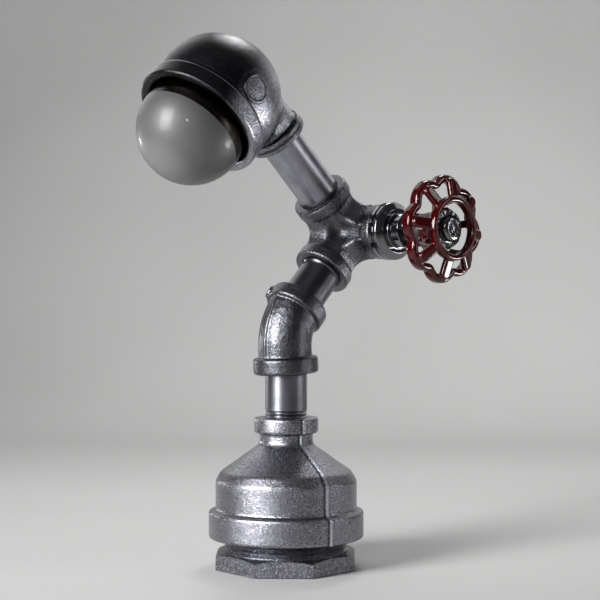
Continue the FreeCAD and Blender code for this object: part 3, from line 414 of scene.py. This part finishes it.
# Painted shade: the bowl's mirror is painted near black for the dark it reflects inside the head.
MIRROR_PAINTED_DARK = plain("mirror_bowl_painted_dark", (0.035, 0.030, 0.026), 0.25, metallic=1)
ENAMEL = plain("red_enamel", (0.036, 0.0004, 0.0007), 0.08, grain=0.08 * MM, grain_scale=420)
RUBBER = plain("black_rubber", (0.02, 0.02, 0.02), 0.6, grain=0.04 * MM)
WHITE_PLASTIC = plain("white_plastic", (0.70, 0.69, 0.65), 0.4, grain=0.02 * MM)
BLACK_PLASTIC = plain("black_plastic", (0.025, 0.025, 0.025), 0.4, grain=0.02 * MM)
PORCELAIN = plain("porcelain", (0.75, 0.73, 0.68), 0.18, coat=0.5)
CLEAR = plain("capsule_glass", (0.6, 0.6, 0.6), 0.1)
HEAD_IRON = head_metal()
FROSTED = frosted_glass()

FINISH = {
    "foot_pad": RUBBER, "base_plug": ZINC_PLUG_SHADED, "reducer": ZINC, "inlet_grommet": RUBBER,
    "terminal_block": WHITE_PLASTIC, "terminal_screws": PLATED, "block_screws": PLATED,
    "earth_tag": BRASS, "earth_screw": PLATED, "lead_base": WHITE_PLASTIC,
    "elbow_45": ZINC_ELBOW_SHADED, "lead_stem": WHITE_PLASTIC, "corner_fitting": ZINC_CORNER_SHADED,
    "lead_arm": WHITE_PLASTIC, "valve_bonnet": CHROME, "packing_ring": RUBBER,
    "packing_nut": CHROME, "switch_body": BLACK_PLASTIC, "switch_shaft": BRASS,
    "valve_stem": BRIGHT, "handwheel": ENAMEL, "wheel_washer": BRIGHT, "wheel_nut": DARK_CHROME,
    "head_elbow": HEAD_IRON, "lead_head": WHITE_PLASTIC, "holder_plate": BRIGHT,
    "plate_screws": PLATED, "holder_body": PORCELAIN, "holder_shell": BRASS,
    "holder_contact": BRASS, "bulb_lens": FROSTED, "bulb_reflector": MIRROR_PAINTED_DARK,
    "bulb_collar": PORCELAIN, "bulb_capsule": CLEAR, "bulb_cap": ALUMINIUM,
    "bulb_insulator": BLACK_PLASTIC, "bulb_tip": BRASS,
}
# The three nipples are one drawn tube; their different greys are painted light and shade, darkest on the middle
# nipple.
TUBES = {
    "lower_nipple": {"axis": UP, "dark": 0.17, "light": 0.34},
    "mid_nipple": {"axis": LEAN, "dark": 0.07, "light": 0.13},
    "upper_nipple": {"axis": REACH, "dark": 0.22, "light": 0.44},
}
for name, how in TUBES.items():
    FINISH[name] = tube_metal("tube_" + name, **how)


def dress(piece, material):
    piece.data.materials.clear()
    piece.data.materials.append(material)


for name, node in NODES.items():
    dress(node, FINISH[name])


# ---- castings: soft edges and hollows that the solids leave sharp ----
CORE_FADE = 4 * MM
CASTINGS = {
    "reducer": {"voxel": 0.5 * MM, "rounds": 6},
    "elbow_45": {"voxel": 0.45 * MM, "rounds": 9},
    "corner_fitting": {"voxel": 0.55 * MM, "rounds": 5, "core": (CORNER, 26 * MM, 260)},
    "head_elbow": {"voxel": 0.5 * MM, "rounds": 3},
    "handwheel": {"voxel": 0.35 * MM, "rounds": 3},
}


def apply_modifiers(piece):
    """Turn the piece's modifiers into its mesh."""
    depsgraph = bpy.context.evaluated_depsgraph_get()
    piece.data = bpy.data.meshes.new_from_object(piece.evaluated_get(depsgraph))
    piece.modifiers.clear()


def cast_copy(node, voxel, rounds, core=None):
    """A copy of a node with its corners softened the way a sand casting's are.

    core is (centre, radius, rounds): inside that ball the form is melted much more.
    """
    piece = bpy.data.objects.new(node + "_cast", NODES[node].data.copy())
    bpy.context.scene.collection.objects.link(piece)
    remesh = piece.modifiers.new("remesh", "REMESH")
    remesh.mode = "VOXEL"
    remesh.voxel_size = voxel
    apply_modifiers(piece)
    if core:
        centre, radius, core_rounds = core
        group = piece.vertex_groups.new(name="core")
        for vertex in piece.data.vertices:
            weight = min(1, (radius - (vertex.co - centre).length) / CORE_FADE)
            if weight > 0:
                group.add([vertex.index], weight, "REPLACE")
        melt = piece.modifiers.new("melt", "SMOOTH")
        melt.vertex_group = group.name
        melt.iterations = core_rounds
    smooth = piece.modifiers.new("smooth", "SMOOTH")
    smooth.iterations = rounds
    apply_modifiers(piece)
    piece.vertex_groups.clear()
    piece.data.shade_smooth()
    dress(piece, FINISH[node])
    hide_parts(node)
    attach(piece, BODY_OF[node])


for name, how in CASTINGS.items():
    cast_copy(name, **how)


# ---- pieces built as meshes ----
def smooth_object(name, form):
    """A linked object with the smooth-shaded mesh of a bmesh, which it frees."""
    mesh = bpy.data.meshes.new(name)
    form.to_mesh(mesh)
    form.free()
    mesh.shade_smooth()
    piece = bpy.data.objects.new(name, mesh)
    bpy.context.scene.collection.objects.link(piece)
    return piece


def head_ring():
    """A thin round bead that lies on the dome."""
    across = RING_WAY.orthogonal().normalized()
    over = RING_WAY.cross(across)
    height = math.sqrt(DOME_RADIUS ** 2 - RING_RADIUS ** 2)
    bead_angles = [2 * math.pi * k / RING_SIDES for k in range(RING_SIDES)]
    form = bmesh.new()
    rows = []
    for i in range(RING_STEPS):
        angle = 2 * math.pi * i / RING_STEPS
        out = across * math.cos(angle) + over * math.sin(angle)
        middle = DOME_MIDDLE + out * RING_RADIUS + RING_WAY * height
        rows.append([form.verts.new(middle + (out * math.cos(part) + RING_WAY * math.sin(part)) * RING_BEAD)
                     for part in bead_angles])
    for here, following in zip(rows, rows[1:] + rows[:1]):
        for k in range(RING_SIDES):
            after = (k + 1) % RING_SIDES
            form.faces.new((here[k], here[after], following[after], following[k]))
    bmesh.ops.recalc_face_normals(form, faces=form.faces)
    ring = smooth_object("head_ring", form)
    dress(ring, HEAD_IRON)
    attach(ring, "head")


head_ring()


# ---- floor and backdrop ----
STAGE_BACK = 1.1
STAGE_FRONT = 2.2
STAGE_CURVE = 0.45
STAGE_CURVE_STEPS = 16
STAGE_HEIGHT = 2.2
STAGE_HALF_WIDTH = 2.6


def make_stage():
    """A pale floor that curves up into a backdrop behind the lamp."""
    profile = [(-STAGE_FRONT, 0.0), (STAGE_BACK - STAGE_CURVE, 0.0)]
    for i in range(1, STAGE_CURVE_STEPS + 1):
        angle = math.pi / 2 * i / STAGE_CURVE_STEPS
        profile.append((STAGE_BACK - STAGE_CURVE + STAGE_CURVE * math.sin(angle),
                        STAGE_CURVE - STAGE_CURVE * math.cos(angle)))
    profile.append((STAGE_BACK, STAGE_HEIGHT))
    form = bmesh.new()
    rows = []
    for along, high in profile:
        foot = -BACK * along + UP * high
        rows.append([form.verts.new(foot + RIGHT * x) for x in (-STAGE_HALF_WIDTH, STAGE_HALF_WIDTH)])
    for low, top in zip(rows, rows[1:]):
        form.faces.new((low[0], low[1], top[1], top[0]))
    stage = smooth_object("backdrop", form)
    material, tree, shader = blank("pale_paper")
    tree.links.new(ramp(tree, noise(tree, 3, 2), [(0.3, (0.50, 0.50, 0.495)), (0.7, (0.54, 0.54, 0.535))]),
                   shader.inputs["Base Color"])
    shader.inputs["Roughness"].default_value = 0.8
    dress(stage, material)


make_stage()


# ---- light ----
WORLD_COLOUR = (0.06, 0.06, 0.065, 1)
WALL_POINT = UP * 0.55 - BACK * STAGE_BACK
LAMPS = {
    "left_box": dict(bearing=-50, elevation=18, distance=1.3, size=(0.58, 0.90), power=5.2, spread=60),
    "right_box": dict(bearing=80, elevation=14, distance=1.0, size=(0.20, 0.62), power=0.56, spread=120),
    "low_right_box": dict(bearing=92, elevation=-16, distance=0.42, size=(0.16, 0.16), power=0.14,
                          target=HEAD, spread=40),
    "rear_left_box": dict(bearing=-145, elevation=38, distance=1.0, size=(0.60, 0.70), power=1.6),
    "rear_right_box": dict(bearing=140, elevation=38, distance=1.0, size=(0.60, 0.70), power=1.1),
    "top_box": dict(bearing=168, elevation=54, distance=0.9, size=(0.20, 0.20), power=2.2),
    "overhead_box": dict(bearing=10, elevation=78, distance=1.1, size=(1.0, 0.9), power=0.5),
    "front_spot": dict(bearing=-7, elevation=17, distance=1.0, size=(0.08, 0.08), power=1.0),
    "left_spot": dict(bearing=-130, elevation=1, distance=1.0, size=(0.08, 0.08), power=0.125, spread=60),
    "wall_box": dict(bearing=180, elevation=45, distance=0.75, size=(1.4, 0.40), power=2.1,
                     target=WALL_POINT, spread=150),
}


def make_lamp(name, bearing, elevation, distance, size, power, target=MIDDLE, spread=180):
    """A soft box that turns to its target.

    It stands at a bearing, in degrees to the right of the camera, and an elevation, as the
    middle of the part sees them; a spread under 180 degrees narrows its light.
    """
    turn = math.radians(bearing)
    rise = math.radians(elevation)
    out = (BACK * math.cos(turn) + RIGHT * math.sin(turn)) * math.cos(rise) + UP * math.sin(rise)
    data = bpy.data.lights.new(name, "AREA")
    data.shape = "RECTANGLE"
    data.size, data.size_y = size
    data.energy = power
    data.spread = math.radians(spread)
    light = bpy.data.objects.new(name, data)
    bpy.context.scene.collection.objects.link(light)
    light.location = MIDDLE + out * distance
    light.rotation_euler = (light.location - target).to_track_quat("Z", "Y").to_euler()
    light.visible_camera = False


def make_world():
    world = bpy.data.worlds.new("world")
    world.use_nodes = True
    background = world.node_tree.nodes["Background"]
    background.inputs["Color"].default_value = WORLD_COLOUR
    background.inputs["Strength"].default_value = 1.0
    bpy.context.scene.world = world


for name, how in LAMPS.items():
    make_lamp(name, **how)
make_world()
bpy.context.scene.view_settings.view_transform = "Standard"
